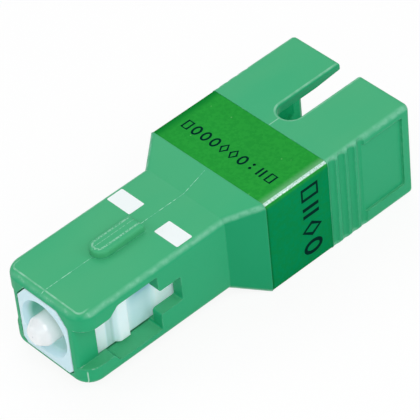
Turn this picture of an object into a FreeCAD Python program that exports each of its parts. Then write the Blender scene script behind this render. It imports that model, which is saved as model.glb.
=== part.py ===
import FreeCAD, Part
import math
import os
from FreeCAD import Vector

# A push-pull fibre optic attenuator: a plug at the front and a matching socket at the rear, in one housing.
# All sizes are in millimetres. The origin is on the optical axis, in the plane of the plug's front face.
# X runs from the plug towards the socket, Z points to the key side and Y across the housing.

# Ferrules, collar and fibre
ferrule_radius = 1.25
ferrule_reach = 1.2
tip_length = 0.8
tip_radius = 0.75
tip_round = 0.4
tail_step = 0.2
tail_radius = ferrule_radius - tail_step
tails_meet = 10.1
middle_x = 19.3
fibre_radius = 0.0625
fibre_hole_gap = 0.001
collar_wall = 0.35
collar_tube_radius = ferrule_radius + collar_wall
collar_rear = 11.8
notch_width = 0.9
notch_depth = 0.4

# Spring, and the washer behind it
wire_radius = 0.15
coil_gap = 0.2
coil_room = 0.35
coil_radius = collar_tube_radius + coil_gap + wire_radius
coil_turns = 4.5
spring_bore = coil_radius + wire_radius + coil_room
flange_gap = 0.25
collar_flange_radius = spring_bore - flange_gap
collar_flange_length = 1.2
spring_length = 3.4
washer_gap = 0.2
washer_hole = ferrule_radius + washer_gap
washer_length = 0.5

# Fits
frame_gap = 0.08
block_gap = 0.05
sleeve_gap = 0.01
press_gap = 0.02

# Alignment sleeve and its holder
sleeve_wall = 0.34
sleeve_outer = ferrule_radius + sleeve_gap + sleeve_wall
sleeve_slit = 0.5
sleeve_opening = 0.015
sleeve_front_gap = 0.1
sleeve_rear_gap = 0.2
holder_gap = 0.05
holder_wall = 0.5
holder_bore = sleeve_outer + holder_gap
holder_tube = holder_bore + holder_wall
holder_lip_depth = 0.2
holder_lip = holder_bore - holder_lip_depth
holder_rear = 25.9
holder_lip_length = 0.7
holder_flange_length = 0.8
holder_flange_step = 0.15
holder_flange = spring_bore + holder_flange_step

# Plug frame, whose bore takes the sleeve holder of a mating socket
frame_wall = 0.4
frame_extra_height = 0.23
frame_half_y = spring_bore + frame_wall
frame_half_z = frame_half_y + frame_extra_height
frame_top_chamfer_y = 1.05
frame_top_chamfer_z = 1.25
frame_low_chamfer = 0.45
frame_corner_round = 0.3
mating_bore_gap = 0.1
frame_bore = holder_tube + mating_bore_gap
frame_mouth_flare = 0.3
frame_mouth_length = 0.7
web_front = 7.6
web_rear = 8.4
washer_front = web_rear + collar_flange_length + spring_length
washer_rear = washer_front + washer_length
web_gap = 0.6
web_hole = ferrule_radius + web_gap
ridge_front = 4.0
ridge_rear = 5.5
ridge_height = 0.5
ridge_half_y = frame_half_y + ridge_height
ridge_half_z = 2.4
peg_radius = 0.2
peg_length = 1.0
peg_inset = 0.85
peg_y = frame_half_y - peg_inset
peg_z = frame_half_z - peg_inset

# Housing, built outwards from the frame
length = 33.0
plug_wall_y = 1.57
plug_wall_z = 0.54
plug_width = 2 * (frame_half_y + frame_gap + plug_wall_y)
plug_height = 2 * (frame_half_z + frame_gap + plug_wall_z)
plug_end = 14.8
taper_length = 2.6
socket_start = plug_end + taper_length
mating_gap_y = 0.05
mating_gap_z = 0.1
mouth_width = plug_width + 2 * mating_gap_y
mouth_height = plug_height + 2 * mating_gap_z
edge_radius = 0.6
socket_edge_radius = 0.5
rear_rim_radius = 0.35
corner_radius_plan = 1.6
shoulder_back = 0.8
shoulder_x = socket_start - shoulder_back

# Channels in the socket walls for the latch arms
channel_depth = 0.65
channel_wall = 1.3
channel_half_y = mouth_width / 2 + channel_depth
channel_half_z = 1.9
mouth_wall_z = 0.85
socket_width = 2 * (channel_half_y + channel_wall)
socket_height = mouth_height + 2 * mouth_wall_z
flare_length = 2.85
flare_wall = 0.3
flare_front = length - flare_length
flare_half_y = socket_width / 2 - flare_wall
flare_rise = 0.25
flare_half_z = mouth_height / 2 + flare_rise

# Side windows of the plug
pillar_rear = 2.1
pillar_clearance = 0.15
pillar_half_y = ridge_half_y + pillar_clearance
pillar_round = 0.4
ridge_channel_gap = 0.1
window_step = 0.4
window_clearance = 0.37
window_half_front = ridge_half_z - window_step
window_half_middle = ridge_half_z + window_clearance
window_half_rear = 1.2
window_rear = 10.0
window_block_length = 2.25

# Key, insertion marks and label
key_width = 1.8
key_height = 0.8
key_front = 5.4
key_rear = window_rear
key_top_round = 0.4
mark_gap = 0.4
mark_length = 1.6
mark_margin = 0.5
mark_front = key_rear + mark_gap
mark_rear = mark_front + mark_length
mark_inner = key_width / 2 + mark_margin
mark_outer = plug_width / 2 - mark_margin
mark_depth = 0.08
label_front = socket_start
label_length = 6.6
label_rear = label_front + label_length
label_thickness = 0.1
label_recess = 0.14

# Slot for the mating plug's key
slot_gap = 0.2
slot_width = key_width + 2 * slot_gap
slot_behind_label = 1.3
slot_front = label_rear + slot_behind_label
slot_rim_radius = 0.2

# Side grips
groove_count = 4
groove_pitch = 1.03
groove_radius = 0.42
groove_depth = 0.27
groove_behind_label = 0.44
groove_first = label_rear + groove_behind_label
groove_last = groove_first + (groove_count - 1) * groove_pitch
panel_inset = 0.07
panel_front = groove_last + panel_inset
panel_rear_margin = 0.9
panel_top_margin = 0.8
panel_low_margin = 1.45
panel_rear = length - panel_rear_margin
panel_top = socket_height / 2 - panel_top_margin
panel_bottom = panel_low_margin - socket_height / 2
panel_depth = 0.2

# Push-pull travel of the inner parts
release_travel = 1.5
frame_rear = shoulder_x + release_travel

# Latch block
block_length = 1.6
lug_gap = 0.1
lug_half_y = channel_half_y - lug_gap
lug_half_z = channel_half_z - 2 * lug_gap
arm_flex_room = 0.5
arm_thickness = 0.55
arm_outer = channel_half_y - arm_flex_room
arm_inner = arm_outer - arm_thickness
arm_side_gap = 0.3
arm_half_z = channel_half_z - arm_side_gap
hook_front = holder_rear
hook_length = 1.3
arm_rear = hook_front + hook_length
hook_gap = 0.15
hook_inner = frame_half_y + hook_gap
bump_height = 0.35
bump_length = 1.2


def box(x0, x1, y0, y1, z0, z1):
    return Part.makeBox(x1 - x0, y1 - y0, z1 - z0, Vector(x0, y0, z0))


def centred_box(x0, x1, half_y, half_z):
    return box(x0, x1, -half_y, half_y, -half_z, half_z)


def rod(x0, x1, radius, y=0.0, z=0.0):
    return Part.makeCylinder(radius, x1 - x0, Vector(x0, y, z), Vector(1, 0, 0))


def cone(x0, x1, r0, r1):
    return Part.makeCone(r0, r1, x1 - x0, Vector(x0, 0, 0), Vector(1, 0, 0))


def both_sides(shape):
    """The shape and its mirror image on the other side of the housing."""
    return [shape, shape.mirror(Vector(0, 0, 0), Vector(0, 1, 0))]


def outline(corners):
    """A closed wire through (a, b, radius) corners in the XY plane, each corner rounded by its radius."""
    count = len(corners)
    entries, exits, arcs = [], [], []
    for i, (a, b, radius) in enumerate(corners):
        here = Vector(a, b, 0)
        before = (Vector(*corners[i - 1][:2], 0) - here).normalize()
        after = (Vector(*corners[(i + 1) % count][:2], 0) - here).normalize()
        half_angle = before.getAngle(after) / 2
        back = radius / math.tan(half_angle)
        entries.append(here + before * back)
        exits.append(here + after * back)
        bisector = (before + after).normalize() if radius else Vector()
        arcs.append(here + bisector * (radius / math.sin(half_angle) - radius))
    edges = []
    for i in range(count):
        if corners[i][2]:
            edges.append(Part.Arc(entries[i], arcs[i], exits[i]).toShape())
        step = entries[(i + 1) % count] - exits[i]
        if step.Length > 1e-6:
            edges.append(Part.makeLine(exits[i], entries[(i + 1) % count]))
    return Part.Wire(edges)


def prism_xy(corners, z0, z1):
    """Extrudes an outline seen from above."""
    face = Part.Face(outline(corners))
    face.translate(Vector(0, 0, z0))
    return face.extrude(Vector(0, 0, z1 - z0))


def prism_xz(corners, y0, y1):
    """Extrudes an outline seen from the side, with its second number upwards."""
    face = Part.Face(outline(corners))
    face.rotate(Vector(0, 0, 0), Vector(1, 0, 0), 90)
    face.translate(Vector(0, y0, 0))
    return face.extrude(Vector(0, y1 - y0, 0))


def section(x, corners):
    """A wire across the housing at x, from (y, z, radius) corners."""
    wire = outline(corners)
    wire.rotate(Vector(0, 0, 0), Vector(1, 1, 1), 120)
    wire.translate(Vector(x, 0, 0))
    return wire


def prism_yz(corners, x0, x1):
    return Part.Face(section(x0, corners)).extrude(Vector(x1 - x0, 0, 0))


def rectangle(half_y, half_z, radius):
    return [
        (half_y, half_z, radius),
        (-half_y, half_z, radius),
        (-half_y, -half_z, radius),
        (half_y, -half_z, radius),
    ]


def frame_outline(gap):
    """The plug frame's section, chamfered more at the top than at the bottom, grown by a gap."""
    half_y = frame_half_y + gap
    half_z = frame_half_z + gap
    top_y, top_z = frame_top_chamfer_y, frame_top_chamfer_z
    low, radius = frame_low_chamfer, frame_corner_round
    top = [(half_y, half_z - top_z, radius), (half_y - top_y, half_z, radius)]
    bottom = [(half_y - low, -half_z, radius / 2), (half_y, -half_z + low, radius / 2)]
    left = [(-y, z, r) for y, z, r in reversed(top)] + [(-y, z, r) for y, z, r in reversed(bottom)]
    return top + left + bottom


def turned(profile):
    """Turns a closed (x, radius) profile about the optical axis."""
    points = [Vector(x, 0, r) for x, r in profile]
    face = Part.Face(Part.makePolygon(points + points[:1]))
    return face.revolve(Vector(0, 0, 0), Vector(1, 0, 0), 360)


def plug_blank():
    """The slim end's outside, with round corners seen from above and every long edge rounded."""
    half_y, half_z = plug_width / 2, plug_height / 2
    corners = [
        (0, half_y, corner_radius_plan),
        (0, -half_y, corner_radius_plan),
        (plug_end, -half_y, 0),
        (plug_end, half_y, 0),
    ]
    blank = prism_xy(corners, -half_z, half_z)
    return blank.makeFillet(edge_radius, flat_edges(blank, half_z, lambda x: x < plug_end - 0.01))


def socket_blank():
    """The wide end's outside, rounded along its length and round the rear face."""
    corners = rectangle(socket_width / 2, socket_height / 2, socket_edge_radius)
    blank = prism_yz(corners, socket_start, length)
    rims = [e for e in blank.Edges if all(v.X > length - 0.01 for v in e.Vertexes)]
    return blank.makeFillet(rear_rim_radius, rims)


def flat_edges(shape, height, wanted):
    """The edges that lie level at plus or minus a height and whose middle satisfies wanted(x)."""
    level = [e for e in shape.Edges if all(abs(abs(v.Z) - height) < 1e-6 for v in e.Vertexes)]
    return [e for e in level if wanted(e.CenterOfMass.x)]


def shell_blank():
    """The housing's outside: a slim plug end, a tapered step and a wider socket end."""
    narrow = section(plug_end, rectangle(plug_width / 2, plug_height / 2, edge_radius))
    wide = section(socket_start, rectangle(socket_width / 2, socket_height / 2, socket_edge_radius))
    taper = Part.makeLoft([narrow, wide], True, True)
    return plug_blank().fuse([taper, socket_blank()])


def key():
    """The raised key on top of the plug, round at the front and square at the rear."""
    half = key_width / 2
    base = plug_height / 2 - plug_wall_z / 2
    top = plug_height / 2 + key_height
    corners = [
        (key_front, half, half - 0.01),
        (key_front, -half, half - 0.01),
        (key_rear, -half, 0.15),
        (key_rear, half, 0.15),
    ]
    blank = prism_xy(corners, base, top)
    rims = [e for e in blank.Edges if all(abs(v.Z - top) < 1e-6 for v in e.Vertexes)]
    return blank.makeFillet(key_top_round, rims)


def plug_window():
    """The opening in the plug's side: narrow at the front, high in the middle, with two blocks at the rear."""
    front, middle, rear = window_half_front, window_half_middle, window_half_rear
    block_front = window_rear - window_block_length
    corners = [
        (pillar_rear, front, 0.1),
        (2.9, front, 0.5),
        (3.75, middle, 0.5),
        (block_front, middle, 0.2),
        (block_front, rear, 0.3),
        (window_rear, rear, 0.15),
        (window_rear, -rear, 0.15),
        (block_front, -rear, 0.3),
        (block_front, -middle, 0.2),
        (3.4, -middle, 0.25),
        (2.9, -front, 0.25),
        (pillar_rear, -front, 0.1),
    ]
    return prism_xz(corners, frame_half_y - 0.4, plug_width / 2 + 1)


def pillar_relief():
    """Lowers the face of the front pillar, so that a mating part's latch hooks can ride over it."""
    far = plug_width / 2 + 1
    corners = [
        (-1, pillar_half_y - pillar_round, 0),
        (0, pillar_half_y - pillar_round, 0),
        (0, pillar_half_y, pillar_round - 0.01),
        (pillar_rear + 0.3, pillar_half_y, 0),
        (pillar_rear + 0.3, far, 0),
        (-1, far, 0),
    ]
    return prism_xy(corners, -window_half_front, window_half_front)


def ridge_channels():
    """Widens the plug's cavity behind the pillars, so that the frame's ridges can be pushed in from the rear."""
    half_y = ridge_half_y + ridge_channel_gap
    half_z = ridge_half_z + ridge_channel_gap
    return centred_box(pillar_rear, shoulder_x + 0.1, half_y, half_z)


def socket_cavity():
    """The socket's mouth, the two channels beside it and its flared end."""
    mouth = centred_box(shoulder_x, length + 1, mouth_width / 2, mouth_height / 2)
    channels = centred_box(shoulder_x, length + 1, channel_half_y, channel_half_z)
    narrow = section(flare_front, rectangle(mouth_width / 2, mouth_height / 2, 0))
    wide = section(length, rectangle(flare_half_y, flare_half_z, 0))
    return [mouth, channels, Part.makeLoft([narrow, wide], True, True)]


def key_slot():
    """The slot in the top of the socket that takes the mating plug's key."""
    half = slot_width / 2
    low = mouth_height / 2 - 0.5
    corners = [
        (slot_front, half, half - 0.01),
        (slot_front, -half, half - 0.01),
        (length + 1, -half, 0),
        (length + 1, half, 0),
    ]
    return prism_xy(corners, low, socket_height)


def round_slot_rim(body):
    """Rounds the slot's upper edges."""
    half = slot_width / 2 + 0.01
    rims = []
    for edge in body.Edges:
        box_of = edge.BoundBox
        level = abs(box_of.ZMin - socket_height / 2) < 1e-6
        if level and abs(box_of.YMin) <= half and abs(box_of.YMax) <= half and box_of.XMin > label_rear:
            rims.append(edge)
    return body.makeFillet(slot_rim_radius, rims)


def grips():
    """Upright grooves and a shallow panel in the socket's side."""
    side = socket_width / 2
    cuts = []
    for i in range(groove_count):
        x = groove_first + i * groove_pitch
        start = Vector(x, side + groove_radius - groove_depth, -socket_height)
        cuts += both_sides(Part.makeCylinder(groove_radius, 2 * socket_height, start, Vector(0, 0, 1)))
    corners = [
        (panel_front, panel_bottom, 0.2),
        (panel_rear, panel_bottom, 0.2),
        (panel_rear, panel_top, 0.2),
        (panel_front, panel_top, 0.2),
    ]
    return cuts + both_sides(prism_xz(corners, side - panel_depth, side + 1))


def band(x0, x1, outer_inset, inner_inset):
    """A thin band round the socket end, between two depths below its surface."""
    half_y, half_z = socket_width / 2, socket_height / 2
    outer = rectangle(half_y - outer_inset, half_z - outer_inset, socket_edge_radius - outer_inset)
    inner = rectangle(half_y - inner_inset, half_z - inner_inset, socket_edge_radius - inner_inset)
    return prism_yz(outer, x0, x1).cut(prism_yz(inner, x0 - 1, x1 + 1))


def mark_corners():
    return [
        (mark_front, mark_inner, 0.12),
        (mark_rear, mark_inner, 0.12),
        (mark_rear, mark_outer, 0.12),
        (mark_front, mark_outer, 0.12),
    ]


def mark(depth_above=0.0):
    """One white insertion mark, sunk flush into the top face of the plug."""
    top = plug_height / 2
    return prism_xy(mark_corners(), top - mark_depth, top + depth_above)


def snap_bump():
    """The ramp in a channel that stops the latch block from coming out again."""
    front = frame_rear + block_length + block_gap
    crest = channel_half_y - bump_height
    corners = [
        (front, crest, 0),
        (front + 0.3, crest, 0),
        (front + bump_length, channel_half_y, 0),
        (front + bump_length, channel_half_y + 0.2, 0),
        (front, channel_half_y + 0.2, 0),
    ]
    return prism_xy(corners, -channel_half_z, channel_half_z)


def make_outer_shell():
    body = shell_blank().fuse(key())
    cuts = [prism_yz(frame_outline(frame_gap), -1, shoulder_x + 0.1)]
    cuts += [ridge_channels()] + socket_cavity() + [key_slot()] + grips()
    cuts += both_sides(plug_window()) + both_sides(pillar_relief()) + both_sides(mark(1.0))
    cuts.append(label_groove())
    body = round_slot_rim(body.cut(cuts))
    return body.fuse(both_sides(snap_bump())).removeSplitter()


def label_groove():
    """The shallow recess that the label lies in."""
    half_y, half_z = socket_width / 2, socket_height / 2
    floor = rectangle(half_y - label_recess, half_z - label_recess, socket_edge_radius - label_recess)
    around = centred_box(label_front, label_rear, half_y + 1, half_z + 1)
    return around.cut(prism_yz(floor, label_front - 1, label_rear + 1))


def make_label():
    sunk = label_recess - label_thickness
    return band(label_front, label_rear, sunk, label_recess)


def frame_ridge():
    """The ridge on the frame's side that latch hooks snap behind."""
    corners = [
        (ridge_front, frame_half_y, 0),
        (ridge_front + 0.5, ridge_half_y, 0.35),
        (ridge_rear, ridge_half_y, 0.1),
        (ridge_rear, spring_bore, 0),
        (ridge_front, spring_bore, 0),
    ]
    return prism_xy(corners, -ridge_half_z, ridge_half_z)


def collar_rib():
    """The rib in the spring bore that keeps the collar from turning."""
    half = notch_width / 2 - 0.15
    low = collar_flange_radius - notch_depth + 0.15
    return box(web_rear - 0.1, web_rear + collar_flange_length - 0.2, -half, half, low, spring_bore + 0.1)


def make_plug_frame():
    body = prism_yz(frame_outline(0.0), 0, frame_rear)
    body = body.fuse(both_sides(frame_ridge()))
    mouth = cone(0, frame_mouth_length, frame_bore + frame_mouth_flare, frame_bore)
    cuts = [mouth, rod(0, web_front, frame_bore)]
    cuts += [rod(0, frame_rear, web_hole), rod(web_rear, frame_rear + 1, spring_bore)]
    flange_front = frame_rear - holder_flange_length
    cuts.append(rod(flange_front, frame_rear + 1, holder_flange + press_gap))
    body = body.cut(cuts)
    rib = collar_rib()
    body = body.fuse([rib, rib.mirror(Vector(0, 0, 0), Vector(0, 0, 1))])
    return body.fuse(pegs(frame_rear - 0.1, frame_rear + peg_length, peg_radius)).removeSplitter()


def pegs(x0, x1, radius):
    """Four rods that join the frame to the latch block."""
    return [rod(x0, x1, radius, y, z) for y in (-peg_y, peg_y) for z in (-peg_z, peg_z)]


def hook_arm():
    """One latch arm with its inward hook, which bends outwards as a plug goes in."""
    root = frame_rear + block_length - 0.2
    corners = [
        (root, arm_inner, 0),
        (hook_front, arm_inner, 0.25),
        (hook_front, hook_inner, 0.15),
        (hook_front + 0.65, hook_inner, 0.2),
        (arm_rear, arm_inner - 0.1, 0.2),
        (arm_rear, arm_outer, 0.2),
        (root, arm_outer, 0),
    ]
    return prism_xy(corners, -arm_half_z, arm_half_z)


def make_latch_block():
    front, rear = frame_rear, frame_rear + block_length
    half_y = mouth_width / 2 - block_gap
    half_z = mouth_height / 2 - block_gap
    plate = prism_yz(rectangle(half_y, half_z, 0.3), front, rear)
    lugs = centred_box(front, rear, lug_half_y, lug_half_z)
    body = plate.fuse([lugs] + both_sides(hook_arm()))
    cuts = [rod(front - 1, rear + 1, holder_tube + block_gap)]
    cuts += pegs(front - 0.1, front + peg_length + 0.1, peg_radius + press_gap)
    return body.cut(cuts).removeSplitter()


def make_front_ferrule():
    hole = fibre_radius + fibre_hole_gap
    front = -ferrule_reach
    profile = [
        (front, hole),
        (front, tip_radius),
        (front + tip_length, ferrule_radius),
        (web_rear, ferrule_radius),
        (web_rear, tail_radius),
        (tails_meet, tail_radius),
        (tails_meet, hole),
    ]
    return round_tip(turned(profile), front, 1)


def make_rear_ferrule():
    hole = fibre_radius + fibre_hole_gap
    profile = [
        (tails_meet, hole),
        (tails_meet, tail_radius),
        (collar_rear, tail_radius),
        (collar_rear, ferrule_radius),
        (middle_x - tip_length, ferrule_radius),
        (middle_x, tip_radius),
        (middle_x, hole),
    ]
    return round_tip(turned(profile), middle_x, -1)


def round_tip(ferrule, end_x, inward):
    """Rounds the two edges of a ferrule's polished tip."""
    rims = []
    for edge in ferrule.Edges:
        place = (edge.CenterOfMass.x - end_x) * inward
        if edge.Closed and edge.Curve.Radius > tip_radius / 2 and -0.01 < place < tip_length + 0.01:
            rims.append(edge)
    return ferrule.makeFillet(tip_round, rims)


def make_ferrule_collar():
    """The metal collar that both ferrule halves are pressed into, with a notched flange in front."""
    flange_rear = web_rear + collar_flange_length
    profile = [
        (web_rear, tail_radius),
        (web_rear, collar_flange_radius - 0.15),
        (web_rear + 0.15, collar_flange_radius),
        (flange_rear - 0.1, collar_flange_radius),
        (flange_rear, collar_flange_radius - 0.1),
        (flange_rear, collar_tube_radius),
        (collar_rear - 0.15, collar_tube_radius),
        (collar_rear, collar_tube_radius - 0.15),
        (collar_rear, tail_radius),
    ]
    low = collar_flange_radius - notch_depth
    notch = box(web_rear - 1, flange_rear, -notch_width / 2, notch_width / 2, low, low + 1)
    return turned(profile).cut([notch, notch.mirror(Vector(0, 0, 0), Vector(0, 0, 1))])


def make_attenuating_fibre():
    return rod(-ferrule_reach, middle_x, fibre_radius)


def make_ferrule_spring():
    front = web_rear + collar_flange_length + wire_radius
    rise = washer_front - wire_radius - front
    helix = Part.makeLongHelix(rise / coil_turns, rise, coil_radius)
    ring = Part.Wire(Part.makeCircle(wire_radius, Vector(coil_radius, 0, 0), Vector(0, 1, 0)))
    spring = Part.Wire(helix.Edges).makePipeShell([ring], True, True)
    spring.rotate(Vector(0, 0, 0), Vector(0, 1, 0), 90)
    spring.translate(Vector(front, 0, 0))
    return spring


def make_spring_washer():
    outer = spring_bore - block_gap
    return rod(washer_front, washer_front + washer_length, outer).cut(rod(0, middle_x, washer_hole))


def make_sleeve_holder():
    """The tube that holds the alignment sleeve, with a flange gripped between frame and latch block."""
    front = washer_rear
    flange_front = frame_rear - holder_flange_length
    lip_front = holder_rear - holder_lip_length
    profile = [
        (front, holder_bore),
        (front, spring_bore - block_gap),
        (flange_front, spring_bore - block_gap),
        (flange_front, holder_flange),
        (frame_rear, holder_flange),
        (frame_rear, holder_tube),
        (holder_rear - 0.2, holder_tube),
        (holder_rear, holder_tube - 0.2),
        (holder_rear, holder_lip + 0.25),
        (holder_rear - 0.25, holder_lip),
        (lip_front, holder_lip),
        (lip_front, holder_bore),
    ]
    return turned(profile)


def make_split_sleeve():
    """The slit sleeve that lines up two ferrules. The half round the ferrule inside it is opened a little."""
    front = washer_rear + sleeve_front_gap
    rear = holder_rear - holder_lip_length - sleeve_rear_gap
    bore = ferrule_radius + sleeve_gap
    chamfer = 0.12
    profile = [
        (front, bore + sleeve_opening + chamfer),
        (front, sleeve_outer - chamfer),
        (front + chamfer, sleeve_outer),
        (rear - chamfer, sleeve_outer),
        (rear, sleeve_outer - chamfer),
        (rear, bore + chamfer),
        (rear - chamfer, bore),
        (middle_x, bore),
        (front + chamfer, bore + sleeve_opening),
    ]
    slit = box(front - 1, rear + 1, -sleeve_slit / 2, sleeve_slit / 2, -sleeve_outer - 1, 0)
    return turned(profile).cut(slit)


def mirrored(shape):
    return shape.mirror(Vector(0, 0, 0), Vector(0, 1, 0))


nodes = {
    "outer_shell": make_outer_shell(),
    "label": make_label(),
    "insertion_mark_left": mark(),
    "insertion_mark_right": mirrored(mark()),
    "plug_frame": make_plug_frame(),
    "latch_block": make_latch_block(),
    "sleeve_holder": make_sleeve_holder(),
    "split_sleeve": make_split_sleeve(),
    "spring_washer": make_spring_washer(),
    "ferrule_spring": make_ferrule_spring(),
    "front_ferrule": make_front_ferrule(),
    "rear_ferrule": make_rear_ferrule(),
    "ferrule_collar": make_ferrule_collar(),
    "attenuating_fibre": make_attenuating_fibre(),
}

os.makedirs("parts", exist_ok=True)
for name, shape in nodes.items():
    solids = shape.Solids
    solid = solids[0] if len(solids) == 1 else shape
    print(name, "solids:", len(solids), "valid:", shape.isValid(), "volume:", round(shape.Volume, 3))
    solid.exportStep("parts/" + name + ".step")
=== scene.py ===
# %% [markdown]
# # A push-pull fibre optic attenuator
# The CAD solids of this small green housing come in as a fixed frame. In this lesson they get the
# finishes of the real thing: satin moulded plastic, a glossy film with print, milky white inner
# mouldings, polished ceramic and plated metal. First the frame is loaded and its size is kept,
# because nothing that is added later may make the object bigger.

# %% Load the frame and keep its size
import bpy
import bmesh
import math
from mathutils import Matrix, Vector
from mathutils.bvhtree import BVHTree


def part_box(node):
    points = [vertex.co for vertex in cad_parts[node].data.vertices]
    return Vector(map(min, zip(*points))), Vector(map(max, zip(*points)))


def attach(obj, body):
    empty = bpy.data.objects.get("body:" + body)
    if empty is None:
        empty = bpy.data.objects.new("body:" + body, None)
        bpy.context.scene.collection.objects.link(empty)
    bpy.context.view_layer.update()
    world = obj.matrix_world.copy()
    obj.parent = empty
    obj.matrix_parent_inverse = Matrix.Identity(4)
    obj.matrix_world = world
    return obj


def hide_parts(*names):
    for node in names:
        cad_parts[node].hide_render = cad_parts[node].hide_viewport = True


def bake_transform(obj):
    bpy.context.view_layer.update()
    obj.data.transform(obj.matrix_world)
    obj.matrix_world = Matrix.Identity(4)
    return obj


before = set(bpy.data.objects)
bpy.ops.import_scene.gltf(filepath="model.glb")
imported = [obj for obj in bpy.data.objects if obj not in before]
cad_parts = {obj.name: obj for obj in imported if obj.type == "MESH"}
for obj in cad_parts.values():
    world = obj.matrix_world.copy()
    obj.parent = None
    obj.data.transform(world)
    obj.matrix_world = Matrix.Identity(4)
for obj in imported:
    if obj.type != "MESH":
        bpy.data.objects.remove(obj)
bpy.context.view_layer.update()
MM = 0.001
print("nodes:", sorted(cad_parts))

# %% [markdown]
# ## A small language for shader nodes
# A procedural material is a graph, and a graph is easier to read as a formula. `Socket` wraps one
# output and turns Python's operators into Math nodes, so that `1 - mask * 0.3` builds what it says.
# The other way is to place and link each node by hand, which works just as well and takes five times
# the lines.

# %% Arithmetic on sockets
class Socket:
    """One output of a node, with arithmetic."""

    def __init__(self, recipe, output):
        self.recipe = recipe
        self.output = output

    def _math(self, operation, first, second):
        return self.recipe.node("ShaderNodeMath", {"operation": operation}, {0: first, 1: second})

    def __add__(self, other):
        return self._math("ADD", self, other)

    def __radd__(self, other):
        return self._math("ADD", other, self)

    def __sub__(self, other):
        return self._math("SUBTRACT", self, other)

    def __rsub__(self, other):
        return self._math("SUBTRACT", other, self)

    def __mul__(self, other):
        return self._math("MULTIPLY", self, other)

    def __rmul__(self, other):
        return self._math("MULTIPLY", other, self)

    def __neg__(self):
        return self._math("SUBTRACT", 0.0, self)

    def __abs__(self):
        return self._math("ABSOLUTE", self, 0.0)


print("sockets add, subtract, multiply, negate and take absolute values")

# %% [markdown]
# `Recipe` owns one material. It keeps the Principled shader at hand, because every finish here is a
# variation on it. Numbers that are the same all over a surface are written straight onto the shader's
# sockets, and only what really varies is linked. Everything but arithmetic goes through one method,
# `node`, which sets a node's options first and then its inputs.

# %% One material, one recipe
class Recipe:
    """One material, written as a few readable steps."""

    def __init__(self, name, **constants):
        self.material = bpy.data.materials.new(name)
        self.material.use_nodes = True
        self.tree = self.material.node_tree
        self.tree.nodes.clear()
        self.shader = self.tree.nodes.new("ShaderNodeBsdfPrincipled")
        self.surface = self.tree.nodes.new("ShaderNodeOutputMaterial").inputs["Surface"]
        self.tree.links.new(self.shader.outputs[0], self.surface)
        for socket, value in constants.items():
            self.shader.inputs[socket.replace("_", " ")].default_value = value

    def node(self, kind, settings=None, inputs=None, output=0):
        """The output of a new node, after its settings and then its inputs have been written."""
        made = self.tree.nodes.new(kind)
        for key, value in (settings or {}).items():
            setattr(made, key, value)
        for key, value in (inputs or {}).items():
            self.plug(made.inputs[key], value)
        return Socket(self, made.outputs[output])

    def plug(self, target, value):
        """A socket is linked to its target, and anything else is written on it as a constant."""
        if isinstance(value, Socket):
            self.tree.links.new(value.output, target)
        else:
            target.default_value = value

    def set(self, name, value):
        self.plug(self.shader.inputs[name], value)

    def mix(self, factor, first, second):
        """A blend of two colours."""
        settings = {"data_type": "RGBA", "blend_type": "MIX"}
        return self.node("ShaderNodeMix", settings, {0: factor, 6: first, 7: second}, output=2)


def srgb(red, green, blue):
    """A colour as an artist writes it, from 0 to 255, turned into the linear light that shaders use."""
    def linear(value):
        value /= 255
        return value / 12.92 if value <= 0.04045 else ((value + 0.055) / 1.055) ** 2.4
    return (linear(red), linear(green), linear(blue), 1.0)


print("mid grey as light:", [round(v, 3) for v in srgb(128, 128, 128)])

# %% [markdown]
# ## Patterns in object space
# A few patterns serve every finish. Each takes its sizes in metres on the object, so a grain of a
# twentieth of a millimetre is written as just that. They work in object space: there are no seams, as
# there would be with an unwrapped image.

# %% Places and noise
class Pattern(Recipe):
    """A recipe that knows places and noise, in metres on the object."""

    def place(self):
        return self.node("ShaderNodeTexCoord", output=3)

    def axes(self):
        """The three coordinates of the surface point."""
        split = self.node("ShaderNodeSeparateXYZ", None, {0: self.place()})
        return [Socket(self, out) for out in split.output.node.outputs]

    def scaled(self, size, stretch=(1, 1, 1)):
        scale = [1 / (size * s) for s in stretch]
        return self.node(
            "ShaderNodeVectorMath", {"operation": "MULTIPLY"}, {0: self.place(), 1: scale})

    def noise(self, size, detail=2.0, stretch=(1, 1, 1)):
        """Smooth noise from 0 to 1, whose blobs are about `size` wide."""
        inputs = {"Vector": self.scaled(size, stretch), "Scale": 1.0, "Detail": detail}
        return self.node("ShaderNodeTexNoise", {"noise_dimensions": "3D"}, inputs)


print("places and noise ready")

# %% [markdown]
# A mask is a value from 0 to 1 that says where something shows. Nearly all masks here come from one
# question: how far is this point from an edge, a line or a middle? A smooth step then turns the distance
# into a soft border. Painting masks by hand would work too, but they would be lost with each new mesh.

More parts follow.
